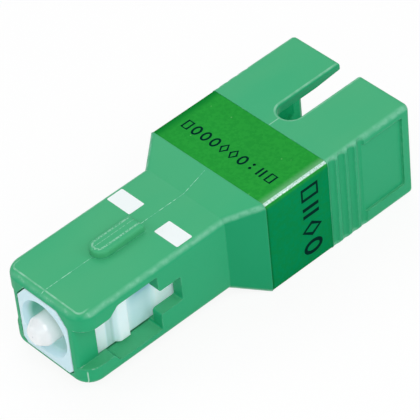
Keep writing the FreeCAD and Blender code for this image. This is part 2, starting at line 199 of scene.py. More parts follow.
# %% Smooth steps, bands and distances
class Mask(Pattern):
    """A recipe that turns places and distances into masks with soft borders."""

    def step(self, value, low, high):
        """0 below low, 1 above high, and smooth between them."""
        settings = {"interpolation_type": "SMOOTHSTEP"}
        inputs = {"Value": value, "From Min": low, "From Max": high}
        return self.node("ShaderNodeMapRange", settings, inputs)

    def below(self, value, low, high):
        """1 below low, 0 above high, and smooth between them."""
        return 1 - self.step(value, low, high)

    def share(self, value, low, high):
        """0 below low, 1 above high, and even between them."""
        inputs = {"Value": value, "From Min": low, "From Max": high}
        return self.node("ShaderNodeMapRange", {"interpolation_type": "LINEAR"}, inputs)

    def line(self, value, centre, half_width):
        """1 where the value is within `half_width` of the centre, with soft sides."""
        return self.below(abs(value - centre), 0.5 * half_width, half_width)

    def least(self, first, second):
        return self.node("ShaderNodeMath", {"operation": "MINIMUM"}, {0: first, 1: second})

    def most(self, first, second):
        return self.node("ShaderNodeMath", {"operation": "MAXIMUM"}, {0: first, 1: second})

    def length(self, vector):
        return self.node("ShaderNodeVectorMath", {"operation": "LENGTH"}, {0: vector}, output=1)

    def distance(self, first, second):
        """How far a way leads that goes `first` in one direction and `second` across it."""
        return self.length(self.node("ShaderNodeCombineXYZ", None, {0: first, 1: second}))

    def dot(self, first, second):
        inputs = {0: first, 1: second}
        return self.node("ShaderNodeVectorMath", {"operation": "DOT_PRODUCT"}, inputs, output=1)

    def specks(self, spacing, size):
        """Small round specks, about `spacing` apart, with many of them left out."""
        inputs = {"Vector": self.scaled(spacing), "Scale": 1.0}
        to_centre = self.node("ShaderNodeTexVoronoi", {"feature": "F1"}, inputs)
        chosen = self.step(self.noise(2.5 * spacing, detail=0), 0.5, 0.56)
        return self.below(to_centre, 0.5 * size / spacing, size / spacing) * chosen


print("masks ready")

# %% [markdown]
# Which way a face looks tells upright walls from flat tops, and the outside from the hollows. The Bevel
# node finds edges, because the normal that it rounds off differs from the true one there. The pale edges,
# partly wear and partly painted highlight, could also be read from the mesh's own edges, but the node
# needs no fine mesh.

# %% Faces, edges and bumps
class Finish(Mask):
    """A recipe for one finish of this object, which also knows its faces and edges."""

    def own_normal(self):
        """The normal in the object's own directions."""
        return self.node("ShaderNodeTexCoord", output=1)

    def facing_up_or_down(self):
        """1 on faces that look straight up or down, and 0 on upright ones."""
        upward = self.node("ShaderNodeSeparateXYZ", None, {0: self.own_normal()}, output=2)
        return self.step(abs(upward), 0.5, 0.95)

    def off_axis(self):
        """The way from the optical axis to the point."""
        inputs = {0: self.place(), 1: (0, 1, 1)}
        return self.node("ShaderNodeVectorMath", {"operation": "MULTIPLY"}, inputs)

    def facing_out(self):
        """1 on faces turned away from the optical axis, and 0 on the walls of hollows."""
        return self.step(self.dot(self.own_normal(), self.off_axis()), 0.0, 0.5 * MM)

    def rounded_normal(self, radius):
        return self.node("ShaderNodeBevel", {"samples": 6}, {"Radius": radius})

    def edges(self, radius):
        """About 1 on edges sharper than `radius`, and 0 on flat faces."""
        true_normal = self.node("ShaderNodeNewGeometry", output=3)
        return self.step(1 - self.dot(self.rounded_normal(radius), true_normal), 0.01, 0.2)

    def bump(self, height, distance, soften=0.0):
        """Fine relief, on a normal whose sharp edges are softened by `soften`."""
        inputs = {"Height": height, "Distance": distance, "Strength": 0.6}
        if soften:
            inputs["Normal"] = self.rounded_normal(soften)
        self.set("Normal", self.node("ShaderNodeBump", None, inputs))


print("finishes know places, masks, faces and edges")

# %% [markdown]
# ## The moulded green housing
# The housing is injection moulded in one piece. Such plastic is never quite one colour: it has faint
# clouds where the melt flowed and a very fine grain from the steel of the mould. Paler lines go along its
# rounded edges, round the front rim, round the top of the key and round the slot: partly wear from
# rubbing, and partly painted highlights where these roundings catch the light.
# An image could carry all that, but a mask worked out from the place of a point needs no unwrapping. So
# each line is written as a distance, to an edge, a circle or a middle line, and `line` turns the
# distance into a soft band. First come the measures that these masks share.

# %% Where the housing's forms are
PLUG_END = 14.8 * MM
SOCKET_START = 17.4 * MM
KEY_FRONT = 5.4 * MM
KEY_REAR = 10 * MM
KEY_RISE = 0.8 * MM
SLOT_BEHIND_LABEL = 1.3 * MM
SLOT_HALF = 1.1 * MM
shell_low, shell_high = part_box("outer_shell")
label_low, label_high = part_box("label")
mark_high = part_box("insertion_mark_left")[1]
PLUG_HALF = (4.5 * MM, mark_high.z)
SOCKET_HALF = (shell_high.y, shell_high.z)
SLOT_FRONT = label_high.x + SLOT_BEHIND_LABEL
print("plug half", PLUG_HALF, "socket half", SOCKET_HALF)

# %% [markdown]
# The long edges and the front rim come first: their pale bands are partly wear from rubbing and partly
# painted highlight. How far a point is from the side and from the top changes along the tapered step, so
# the size that it's measured from grows there just as the housing does. Where the rim's rounding meets
# the top, a fine painted highlight line shows, and it turns round the two corners: a distance that only
# counts beyond the corner's centre is straight before it and round after it.

# %% Rounded edges and the front rim
EDGE_BAND = 0.5 * MM
EDGE_CORE = 0.4 * EDGE_BAND
RIM_SHARE = 0.4
RIM_CORNER = (1.06 * MM, 3.4 * MM)
RIM_LINE_RADIUS = 0.5 * MM
RIM_LINE_FADE = (0.9 * MM, 1.7 * MM)


def rounded_edges(finish):
    """1 on the long rounded edges and less on the front rim, at distances that follow the taper, for pale
    wear and a painted highlight.
    """
    along, across, height = finish.axes()
    grown = finish.share(along, PLUG_END, SOCKET_START)
    from_side = PLUG_HALF[0] + (SOCKET_HALF[0] - PLUG_HALF[0]) * grown - abs(across)
    from_top = PLUG_HALF[1] + (SOCKET_HALF[1] - PLUG_HALF[1]) * grown - abs(height)
    near_side = finish.below(from_side, EDGE_CORE, EDGE_BAND)
    near_top = finish.below(from_top, EDGE_CORE, EDGE_BAND)
    near_front = finish.below(along, EDGE_CORE, EDGE_BAND)
    near_edge = finish.least(near_side + RIM_SHARE * near_front, 1.0)
    return finish.least(near_top * near_edge, finish.facing_out())


def rim_outline(finish):
    """1 on a fine line where the front rim's rounding meets the top, and round its corners, for a painted
    highlight.
    """
    along, across, height = finish.axes()
    before = finish.most(RIM_CORNER[0] - along, 0.0)
    beside = finish.most(abs(across) - RIM_CORNER[1], 0.0)
    on_line = finish.line(finish.distance(before, beside), RIM_LINE_RADIUS, 0.1 * MM)
    on_top = finish.step(height, PLUG_HALF[1] - 0.15 * MM, PLUG_HALF[1] - 0.05 * MM)
    return on_top * on_line * finish.below(along, *RIM_LINE_FADE)


print("edge band of", round(EDGE_BAND / MM, 2), "mm")

# %% [markdown]
# The key and the slot are both straight with a round front end. The distance from their middle line
# serves both: beside the line it's the way across, and ahead of it the way to its first point. A stadium
# drawn as two lines and a half circle would need three masks.

# %% Lines round the key and the slot
KEY_LINE_START = KEY_FRONT + 0.75 * MM
KEY_LINE_RADIUS = 0.52 * MM
KEY_SEAM_OFFSET = 0.08 * MM
SLOT_LINE_RADIUS = SLOT_HALF + 0.17 * MM


def above_the_plug(finish, rise):
    """1 on the key from a height over the plug's top, before the taper starts to rise."""
    along, _, height = finish.axes()
    start = PLUG_HALF[1] + rise
    return finish.step(height, start, start + 0.1 * MM) * finish.below(along, PLUG_END - MM, PLUG_END)


def key_sides(finish):
    """1 on the rounded sides of the key."""
    return above_the_plug(finish, 0.02 * MM) * (1 - finish.facing_up_or_down())


def from_middle(finish, front):
    """How far a point is from the middle line of a key or slot, whose round end starts at `front`."""
    along, across, _ = finish.axes()
    return finish.distance(finish.most(front - along, 0.0), across)


def key_outline(finish):
    """1 on the pale line round the top of the key, partly wear and partly painted highlight, and less on
    the moulding line along it.
    """
    worn_and_lit = finish.line(from_middle(finish, KEY_LINE_START), KEY_LINE_RADIUS, 0.11 * MM)
    moulded = finish.line(finish.axes()[1], KEY_SEAM_OFFSET, 0.045 * MM)
    return above_the_plug(finish, KEY_RISE - 0.2 * MM) * finish.least(worn_and_lit + 0.7 * moulded, 1.0)


def slot_outline(finish):
    """1 on the rounded rim of the slot, whose front end is a half circle, for a painted highlight."""
    on_top = finish.step(finish.axes()[2], SOCKET_HALF[1] - 0.2 * MM, SOCKET_HALF[1])
    to_middle = from_middle(finish, SLOT_FRONT + SLOT_HALF)
    return on_top * finish.line(to_middle, SLOT_LINE_RADIUS, 0.12 * MM)


print("slot starts at", round(SLOT_FRONT / MM, 2), "mm")

# %% [markdown]
# Two more lines come from the mould itself. Its halves meet in the middle, and between the label and the
# slot their line lies flush with the surface. At the foot of the front corners, a short upright line
# shows where an insert of the mould ended. They could be cut as relief, but both stand out by less than
# the grain does, so colour alone shows them.

# %% Lines left by the mould
WITNESS_ALONG = 0.47 * MM
WITNESS_ACROSS = 3.5 * MM
WITNESS_TOP = -2.1 * MM


def flush_line(finish):
    """1 on the moulding line between the label and the slot, where it doesn't stand out."""
    along, across, height = finish.axes()
    behind_label = finish.step(along, label_high.x, label_high.x + 0.1 * MM)
    before_slot = finish.below(along, SLOT_FRONT - 0.3 * MM, SLOT_FRONT - 0.2 * MM)
    on_top = finish.step(height, 0.0, MM)
    return behind_label * before_slot * finish.line(across, 0.0, 0.06 * MM) * on_top


def corner_witness(finish):
    """1 on the short upright line at the foot of the front corners, where mould inserts met."""
    along, across, height = finish.axes()
    at_side = finish.step(abs(across), WITNESS_ACROSS, WITNESS_ACROSS + 0.2 * MM)
    low_down = finish.below(height, WITNESS_TOP - 0.3 * MM, WITNESS_TOP)
    return finish.line(along, WITNESS_ALONG, 0.05 * MM) * at_side * low_down


print("witness line up to", round(WITNESS_TOP / MM, 2), "mm")

# %% [markdown]
# The last masks pick out the walls inside the socket and the sides of the step, where light and shade are
# painted into the colour.
# A material of their own would need the solid's faces to be sorted, and would end in a hard seam. So
# both are found by place and by the way they look, and fade out at their ends.

# %% Inside the socket and beside the step
SOCKET_WALL_FADE = (5.95 * MM, 6.05 * MM)
SLOT_SHADE_FADE = (3.4 * MM, 4.2 * MM)


def socket_inside(finish):
    """1 on the walls inside the socket, below the top of the slot."""
    along, across, height = finish.axes()
    behind_label = finish.step(along, label_high.x, label_high.x + 0.5 * MM)
    before_rear = finish.below(along, shell_high.x - 0.05 * MM, shell_high.x - 0.01 * MM)
    within = finish.below(abs(across), *SOCKET_WALL_FADE) * finish.below(height, *SLOT_SHADE_FADE)
    return (1 - finish.facing_out()) * behind_label * before_rear * within


def taper_sides(finish):
    """1 on the upright faces of the tapered step."""
    along = finish.axes()[0]
    begun = finish.step(along, PLUG_END - 0.05 * MM, PLUG_END + 0.05 * MM)
    not_ended = finish.below(along, label_low.x - 0.1 * MM, label_low.x)
    return begun * not_ended * (1 - finish.facing_up_or_down())


print("step from", round(PLUG_END / MM, 2), "to", round(label_low.x / MM, 2), "mm")

# %% [markdown]
# Now the finish itself, in layers, each laid over the one before. The first is the green of the moulding
# with its clouds, with light and shade painted over it: the faces that look up or down get a paler
# painted sheen, the shaded sides of the key a painted lighter green, and the sides of the step a painted
# deeper shade.

# %% The green that the mould gives, with painted sheen, light and shade
HOUSING_GREEN = srgb(22, 164, 110)
HOUSING_CLOUD = srgb(48, 170, 118)
HOUSING_FLAT_FACE_SHEEN = srgb(80, 174, 122)
HOUSING_KEY_SIDE_LIGHT = srgb(84, 188, 132)
HOUSING_TAPER_SHADE = srgb(0, 150, 98)


def green_with_painted_light(finish, clouds, fine):
    """The cloudy green, with a painted sheen on faces that look up or down, painted light on the key's
    sides and painted shade on the sides of the step.
    """
    colour = finish.mix(clouds * 0.7 + fine * 0.3, HOUSING_GREEN, HOUSING_CLOUD)
    # painted sheen: faces that look up or down are paler
    sheen_green = finish.mix(clouds, HOUSING_FLAT_FACE_SHEEN, HOUSING_CLOUD)
    colour = finish.mix(finish.facing_up_or_down(), colour, sheen_green)
    # painted light: the shaded sides of the key are lighter
    colour = finish.mix(key_sides(finish) * 0.8, colour, HOUSING_KEY_SIDE_LIGHT)
    # painted shade: the sides of the step are deeper
    return finish.mix(taper_sides(finish) * 0.7, colour, HOUSING_TAPER_SHADE)


print("five greens for the housing")

# %% [markdown]
# The second layer is pale wear with painted highlights. Rubbing doesn't take an edge evenly, and the
# painted highlight is broken up in the same way, so each mask gets noise of its own size: patches on the
# long edges, speckles round the key, and short bright nicks on the front end, which is pushed into
# sockets again and again.

# %% Worn edges with painted highlights, nicks and fine lines
HOUSING_RUBBED_AND_HIGHLIGHT = srgb(116, 198, 160)
HOUSING_NICK_AND_HIGHLIGHT = srgb(176, 222, 200)
CORNER_RADIUS = 0.22 * MM
DASH_SIZE = 0.35 * MM
SPECKLE_SIZE = 0.15 * MM
NICKED_FRONT = (0.8 * MM, 2.2 * MM)


def worn_and_highlighted_edges(finish, colour, rim, patchy):
    """Edges paler from wear and a painted highlight, but not where the label covers them, and nicks near
    the front.
    """
    along = finish.axes()[0]
    away_from_label = 1 - finish.line(along, label_low.x, 0.5 * MM)
    corner = finish.edges(CORNER_RADIUS) * away_from_label
    # pale edges and rim: partly wear, partly painted highlight
    colour = finish.mix(corner * (0.1 + 0.3 * patchy), colour, HOUSING_RUBBED_AND_HIGHLIGHT)
    colour = finish.mix(rim * (0.35 + 0.35 * patchy), colour, HOUSING_RUBBED_AND_HIGHLIGHT)
    near_front = finish.below(along, *NICKED_FRONT)
    dashes = finish.step(finish.noise(DASH_SIZE, detail=3), 0.56, 0.66)
    return finish.mix((corner * 0.6 + rim * 0.3) * near_front * dashes, colour, HOUSING_NICK_AND_HIGHLIGHT)


def fine_lines(finish, colour, patchy):
    """The pale lines round the key, the rim and the slot, which are painted highlights and round the key
    also wear, and the two that the mould left.
    """
    speckled = finish.step(finish.noise(SPECKLE_SIZE, detail=2), 0.35, 0.6)
    # painted highlight lines round the key, the rim and the slot
    outlines = key_outline(finish) * speckled + rim_outline(finish) * (0.4 + 0.6 * patchy)
    outlines = outlines + slot_outline(finish) * (0.4 + 0.4 * patchy) + flush_line(finish)
    colour = finish.mix(finish.least(outlines * 0.5, 1.0), colour, HOUSING_NICK_AND_HIGHLIGHT)
    return finish.mix(corner_witness(finish) * 0.8, colour, HOUSING_NICK_AND_HIGHLIGHT)


print("nicks up to", round(NICKED_FRONT[1] / MM, 2), "mm from the front")

# %% [markdown]
# The layers meet in one material. The walls inside the socket get a painted deep green for the light and
# shade that fall there, are left rougher by the mould, and hardly mirror the floor. The worn edges are
# smoother, which a thin clear coat stands for, and a very low bump gives the satin of the mould's steel.
# The ridge that the mould's halves leave gets a paler recipe of its own.

# %% Satin plastic for the housing
HOUSING_INNER_LIGHT_AND_SHADE = srgb(4, 184, 120)
CLOUD_SIZE = 6 * MM
FLOW_STRETCH = (2, 1, 1)
FINE_SIZE = 0.25 * MM
PATCH_SIZE = 0.7 * MM
MOULD_GRAIN = 0.05 * MM
MOULD_WAVES = 0.6 * MM


def housing_plastic():
    finish = Finish("housing_satin_green", IOR=1.5, Specular_IOR_Level=0.15, Coat_Roughness=0.4)
    clouds = finish.noise(CLOUD_SIZE, detail=3, stretch=FLOW_STRETCH)
    fine = finish.noise(FINE_SIZE)
    patchy = finish.step(finish.noise(PATCH_SIZE, detail=4), 0.4, 0.65)
    rim = rounded_edges(finish)
    colour = green_with_painted_light(finish, clouds, fine)
    colour = worn_and_highlighted_edges(finish, colour, rim, patchy)
    colour = fine_lines(finish, colour, patchy)

    inner = socket_inside(finish)
    # painted light and shade: a deep green on the walls inside the socket
    finish.set("Base Color", finish.mix(inner * 0.85, colour, HOUSING_INNER_LIGHT_AND_SHADE))
    finish.set("Roughness", 0.38 + 0.06 * clouds + 0.05 * fine + 0.5 * inner)
    finish.set("Coat Weight", rim * (0.6 + 0.4 * patchy))
    grain = finish.noise(MOULD_GRAIN, detail=1) + 2 * finish.noise(MOULD_WAVES)
    finish.bump(grain, 0.0025 * MM, soften=0.1 * MM)
    return finish.material


def line_plastic():
    """The ridge of the moulding line: the same plastic, thinner, with pale dashes that are partly wear
    and partly painted highlight.
    """
    finish = Finish("moulding_line_pale", IOR=1.5, Specular_IOR_Level=0.2)
    # pale dashes on the ridge: partly wear, partly painted highlight
    worn_and_lit = finish.step(finish.noise(0.45 * MM, detail=3), 0.44, 0.6)
    finish.set("Base Color", finish.mix(worn_and_lit, srgb(84, 182, 138), srgb(158, 218, 190)))
    finish.set("Roughness", 0.4 + 0.1 * worn_and_lit)
    finish.bump(finish.noise(MOULD_GRAIN), 0.002 * MM)
    return finish.material


housing_finish = housing_plastic()
line_finish = line_plastic()
print("made", housing_finish.name, "with", len(housing_finish.node_tree.nodes), "nodes")

# %% [markdown]
# ## The glossy label
# The label is a film with print on it, wrapped round the socket end. Its top and its sides get two
# greens, chosen by height on the object: a lighter, yellower top as painted light and a deeper, bluer
# side as painted shade. It has a soft grain, a few specks of dust lie under it, its far long edge gets a
# painted shade, and its sides end in a darker line where they meet the step. Where the film bends over
# the near long edge, a fine broken white line is painted as a highlight, with a faint pale band leading
# up to it. The line is measured along the bend, and a clear coat grows towards it, so that it also
# shines. One clear coat over all would be simpler, but it would also mirror the white room in the flat
# sides and wash out their deep green.

# %% Glossy film for the label
LABEL_TOP_LIT = srgb(38, 150, 56)
LABEL_TOP_CLOUD = srgb(40, 158, 58)
LABEL_FAR_EDGE_SHADE = srgb(6, 122, 44)
LABEL_SIDE_SHADED = srgb(0, 133, 78)
LABEL_SIDE_CLOUD = srgb(2, 140, 86)
LABEL_SIDE_EDGE = srgb(0, 100, 46)
LABEL_GRAIN = srgb(18, 128, 46)
LABEL_DUST = srgb(130, 205, 130)
LABEL_BENT_HIGHLIGHT = srgb(222, 248, 244)
TOP_FADE = (4.0 * MM, 4.5 * MM)
FAR_EDGE_FADE = (5.2 * MM, 6.2 * MM)
FRONT_EDGE_FADE = (label_low.x + 0.05 * MM, label_low.x + 0.3 * MM)
BEND_CREST = label_high.z - label_high.y + 0.15 * MM
BEND_HALF_WIDTH = 0.24 * MM


def label_film():
    finish = Finish("label_glossy_film", IOR=1.5, Specular_IOR_Level=0.005, Coat_Roughness=0.06,
                    Coat_IOR=1.7)
    along, across, height = finish.axes()
    drift = finish.noise(4 * MM, detail=2)
    # painted shade: the sides get a deeper, bluer green than the top
    side = finish.mix(drift, LABEL_SIDE_SHADED, LABEL_SIDE_CLOUD)
    side = finish.mix(finish.below(along, *FRONT_EDGE_FADE) * 0.7, side, LABEL_SIDE_EDGE)
    # painted light: the top gets a lighter, yellower green
    top = finish.mix(drift, LABEL_TOP_LIT, LABEL_TOP_CLOUD)
    # painted shade: the far long edge of the top is darker
    top = finish.mix(finish.step(across, *FAR_EDGE_FADE), top, LABEL_FAR_EDGE_SHADE)
    film_and_painted_light = finish.mix(finish.step(height, *TOP_FADE), side, top)
    grain = finish.step(finish.noise(0.3 * MM, detail=4), 0.38, 0.62)
    film_and_painted_light = finish.mix(grain * 0.3, film_and_painted_light, LABEL_GRAIN)
    dust = finish.specks(0.9 * MM, 0.09 * MM)
    film_and_painted_light = finish.mix(dust * 0.35, film_and_painted_light, LABEL_DUST)

    near_side = -across
    up_the_bend = height + across
    # painted highlight: a faint pale band leading up to the bend
    to_bend = finish.step(near_side, 5.4 * MM, 6.3 * MM) * finish.step(height, 3.9 * MM, 4.2 * MM)
    to_bend = to_bend * finish.step(up_the_bend, BEND_CREST - 0.2 * MM, BEND_CREST - 0.05 * MM)
    film_and_painted_light = finish.mix(to_bend * 0.14, film_and_painted_light, LABEL_BENT_HIGHLIGHT)
    # painted highlight: a fine broken white line along the bend
    bend = finish.line(up_the_bend, BEND_CREST, BEND_HALF_WIDTH)
    bend = bend * finish.step(near_side, 5.8 * MM, 6 * MM)
    sparkle = finish.step(finish.noise(0.12 * MM, detail=3), 0.3, 0.6)
    finish.set("Base Color", finish.mix(bend * (0.35 + 0.5 * sparkle), film_and_painted_light, LABEL_BENT_HIGHLIGHT))
    finish.set("Coat Weight", 0.004 * drift + 0.35 * to_bend)
    ripple = finish.noise(0.16 * MM, detail=3)
    finish.set("Roughness", 0.34 + 0.1 * ripple)
    finish.bump(ripple + 4 * dust, 0.004 * MM)
    return finish.material


label_finish = label_film()
print("made", label_finish.name)

# %% [markdown]
# ## White mouldings and printed marks
# The inner frame is a milky moulding that lets light through, so it gets some subsurface scattering.
# Light also travels a long way inside such a wall and picks up the green and blue of what is round it,
# and much of the frame lies in the housing's shade. Scattering by the shader stays short, so light and
# shade are painted into the colour: a faint painted glow, paler at the rear, painted light round the
# ridge and at the rear of the window, and painted shade by place, cool on the front face, green deep in
# the bore and at the ridge, and blue under the roof of the window. Each pair of measures below is where a
# mask starts and ends, or a band's middle and half width.

# %% Where light shows in the milky plastic
FRONT_FADE = (0.3 * MM, 0.9 * MM)
BORE_FADE = (0.1 * MM, 0.9 * MM)
REAR_BEGINS = (7.6 * MM, 8.8 * MM)
REAR_ENDS = (10.2 * MM, 10.6 * MM)
AHEAD_OF_RIDGE = (2.5 * MM, 1.4 * MM)
RIDGE_SHADOW = (3.85 * MM, 0.4 * MM)
BEHIND_RIDGE = (5.2 * MM, 1.0 * MM)
UNDER_ROOF = (7.3 * MM, 1.8 * MM)
BLUE_UNDER_ROOF = (7.9 * MM, 1.6 * MM)
BORE_RISE = (-2.2 * MM, 0.4 * MM)
ROOF_RISE = (-0.8 * MM, 1.6 * MM)
BLUE_RISE = (0.2 * MM, 1.3 * MM)
FRONT_SHADE = srgb(164, 200, 214)
PAINTED_SHADE_GREEN = srgb(80, 160, 138)
WINDOW_ROOF_SHADE = srgb(104, 188, 196)
WINDOW_BLUE_SHADE = srgb(10, 138, 196)
WINDOW_PAINTED_LIGHT = srgb(240, 249, 252)
SHINE_THROUGH = srgb(122, 142, 145)
BORE_GLOW = srgb(84, 150, 132)
REAR_GLOW = srgb(206, 226, 234)
print("the ridge's shadow is", round(RIDGE_SHADOW[0] / MM, 2), "mm from the front")

# %% [markdown]
# The inner frame and the latch block share one recipe, in which painted light, shade and glow are laid
# over the milky white one after the other. The two marks on the plug are matt white paint, worn a little
# grey in places.

# %% Milky plastic and white paint
def milky_plastic(name, colour, pale, shaded_within):
    """Moulded white plastic with a painted glow, painted light and painted shade; its green shade goes on
    walls nearer to the axis than a distance.
    """
    finish = Finish(name, IOR=1.49, Subsurface_Weight=0.3, Subsurface_Scale=0.5 * MM,
                    Subsurface_Radius=(0.6, 0.9, 1.0), Emission_Strength=0.4)
    clouds = finish.noise(2.5 * MM, detail=3)
    fine = finish.noise(0.15 * MM)
    colour = finish.mix(clouds * 0.6 + fine * 0.3, colour, pale)

    along, _, height = finish.axes()
    # painted shade: a cool tone on the front face
    colour = finish.mix(finish.below(along, *FRONT_FADE) * 0.45, colour, FRONT_SHADE)
    # painted light at the rear of the window and round the ridge
    at_rear = finish.step(along, *REAR_BEGINS) * finish.below(along, *REAR_ENDS)
    round_ridge = 0.6 * finish.line(along, *AHEAD_OF_RIDGE) + 0.5 * finish.line(along, *BEHIND_RIDGE)
    lit_again = finish.least(at_rear + round_ridge, 1.0)
    colour = finish.mix(lit_again * 0.8, colour, WINDOW_PAINTED_LIGHT)
    # painted shade under the roof of the window, green-blue, then blue higher up
    roofed = finish.line(along, *UNDER_ROOF) * (0.3 + 0.5 * finish.step(height, *ROOF_RISE))
    colour = finish.mix(roofed, colour, WINDOW_ROOF_SHADE)
    blue = finish.line(along, *BLUE_UNDER_ROOF) * finish.step(height, *BLUE_RISE)
    colour = finish.mix(blue, colour, WINDOW_BLUE_SHADE)
    # painted shadow of the ridge
    colour = finish.mix(finish.line(along, *RIDGE_SHADOW) * 0.4, colour, PAINTED_SHADE_GREEN)

    # painted shade: green deep in the bore
    from_axis = finish.length(finish.off_axis())
    inside = finish.below(from_axis, shaded_within - 0.1 * MM, shaded_within + 0.1 * MM)
    in_bore = inside * finish.step(along, *BORE_FADE) * (0.3 + 0.7 * finish.step(height, *BORE_RISE))
    finish.set("Base Color", finish.mix(in_bore * 0.95, colour, PAINTED_SHADE_GREEN))
    finish.set("Roughness", 0.34 + 0.12 * clouds)
    # painted glow: emission, paler at the rear and green in the bore
    glow = finish.mix(at_rear, SHINE_THROUGH, REAR_GLOW)
    finish.set("Emission Color", finish.mix(in_bore, glow, BORE_GLOW))
    finish.bump(finish.noise(0.06 * MM) + 3 * clouds, 0.002 * MM, soften=0.1 * MM)
    return finish.material


def mark_paint():
    finish = Finish("mark_white_paint", IOR=1.45)
    grain = finish.noise(0.08 * MM, detail=3)
    worn = finish.step(finish.noise(0.5 * MM, detail=4), 0.6, 0.75)
    finish.set("Base Color", finish.mix(worn * 0.5, srgb(238, 245, 245), srgb(214, 228, 224)))
    finish.set("Roughness", 0.5 + 0.15 * grain)
    finish.bump(grain, 0.002 * MM)
    return finish.material


frame_finish = milky_plastic("frame_milky_white", srgb(206, 234, 240), srgb(226, 244, 248), 2.4 * MM)
block_finish = milky_plastic("block_milky_white", srgb(206, 230, 234), srgb(226, 240, 242), 0.5 * MM)
mark_finish = mark_paint()
print("made", frame_finish.name, block_finish.name, mark_finish.name)

# %% [markdown]
# ## Ceramic and metal
# The ferrules and the slit sleeve are zirconia, ground and polished: whiter, harder and shinier than
# plastic, with faint grinding lines, and still a little milky, which a faint painted glow stands for. The
# collar, the washer and the spring are metal. A tool leaves fine lines on it, and noise that is stretched
# along an axis draws them. The fibre is glass, which a shader could let light straight through. So thin a
# thread would then look black from its end, and only part of its light passes.

# %% Polished ceramic and drawn metal
def zirconia():
    finish = Finish("ferrule_zirconia", IOR=2.1, Specular_IOR_Level=0.3, Coat_Roughness=0.05,
                    Subsurface_Weight=0.2, Subsurface_Scale=0.4 * MM,
                    Subsurface_Radius=(1.0, 0.95, 0.9), Emission_Strength=0.06)
    grinding = finish.noise(0.05 * MM, detail=2, stretch=(12, 1, 1))
    warmth = finish.noise(1.5 * MM, detail=1)
    shade = finish.mix(warmth, srgb(236, 242, 244), srgb(244, 242, 242))
    finish.set("Base Color", finish.mix(grinding * 0.3, shade, srgb(206, 220, 224)))
    # painted glow: a faint emission in the ceramic's own colour
    finish.set("Emission Color", shade)
    finish.set("Roughness", 0.2 + 0.1 * grinding)
    finish.set("Coat Weight", 0.2 + 0.1 * grinding)
    finish.bump(grinding, 0.0008 * MM, soften=0.06 * MM)
    return finish.material


def drawn_metal(name, colour, dull, roughness, stretch):
    """Metal whose tool lines follow the axes along which its noise is stretched."""
    finish = Finish(name, IOR=2.5)
    lines = finish.noise(0.04 * MM, detail=3, stretch=stretch)
    stain = finish.noise(0.9 * MM, detail=3)
    finish.set("Base Color", finish.mix(stain * 0.5 + lines * 0.3, colour, dull))
    finish.set("Metallic", 0.96 + 0.04 * stain)
    finish.set("Roughness", roughness + 0.18 * lines)
    finish.bump(lines, 0.001 * MM)
    return finish.material


def clear_glass():
    finish = Finish("fibre_clear_glass", IOR=1.46, Transmission_Weight=0.25)
    streak = finish.noise(0.03 * MM, stretch=(20, 1, 1))
    finish.set("Base Color", finish.mix(streak, srgb(232, 240, 246), srgb(206, 220, 234)))
    finish.set("Roughness", 0.04 + 0.04 * streak)
    return finish.material


ceramic_finish = zirconia()
collar_finish = drawn_metal("collar_nickel", srgb(200, 194, 182), srgb(168, 162, 152), 0.24, (1, 8, 8))
washer_finish = drawn_metal("washer_steel", srgb(190, 190, 188), srgb(150, 150, 150), 0.3, (1, 6, 6))
spring_finish = drawn_metal("spring_wire", srgb(186, 186, 190), srgb(140, 140, 146), 0.22, (1, 10, 10))
glass_finish = clear_glass()
print("made", [m.name for m in (ceramic_finish, collar_finish, washer_finish, spring_finish)])

# %% [markdown]
# Every CAD node now gets its finish. The solids keep their shape and place, and only the material in
# their slot changes. Each could be dressed right where its finish is made. One table shows better that
# no node was missed, and which pieces are of the same stuff.

# %% Dress the CAD nodes
FINISHES = {
    "outer_shell": housing_finish,
    "label": label_finish,
    "insertion_mark_left": mark_finish,
    "insertion_mark_right": mark_finish,
    "plug_frame": frame_finish,
    "latch_block": block_finish,
    "sleeve_holder": block_finish,
    "split_sleeve": ceramic_finish,
    "front_ferrule": ceramic_finish,
    "rear_ferrule": ceramic_finish,
    "ferrule_collar": collar_finish,
    "spring_washer": washer_finish,
    "ferrule_spring": spring_finish,
    "attenuating_fibre": glass_finish,
}
for node_name, finish in FINISHES.items():
    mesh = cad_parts[node_name].data
    mesh.materials.clear()
    mesh.materials.append(finish)
print("dressed", len(FINISHES), "of", len(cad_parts), "nodes")

# %% [markdown]
# ## Pieces in mesh code
# The scene adds a few pieces of its own: thin relief on the outside, and the spring inside.
# `mesh_piece` turns a function that fills a bmesh into an object with a finish and a slot, and each piece
# of relief then says which body it moves with. Blender's own primitives would do for simple forms only.

# %% Make a piece from a function
def mesh_piece(name, build, material):
    mesh = bpy.data.meshes.new(name)
    bm = bmesh.new()
    build(bm)
    bmesh.ops.recalc_face_normals(bm, faces=bm.faces)
    bm.to_mesh(mesh)
    bm.free()
    mesh.materials.append(material)
    piece = bpy.data.objects.new(name, mesh)
    bpy.context.scene.collection.objects.link(piece)
    print(name, "has", len(mesh.polygons), "faces")
    return piece


print("piece maker ready")

# %% [markdown]
# ## The spring that presses the ferrule
# A spring of round wire presses the ferrule forward, and gets shorter when the ferrule is pushed back. A
# wound wire of the same size stands for the CAD solid, which is hidden. The first and the last turn lie
# closed, as on a real spring, to press evenly on the collar and on the washer.

# %% Wind the spring
SPRING_TURNS = 4.5
WIRE_RADIUS = 0.15 * MM
RINGS_IN_TURN = 24
RING_POINTS = 10
spring_low, spring_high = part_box("ferrule_spring")
WIRE_START = spring_low.x + WIRE_RADIUS
WIRE_END = spring_high.x - WIRE_RADIUS
COIL_RADIUS = spring_high.z - WIRE_RADIUS


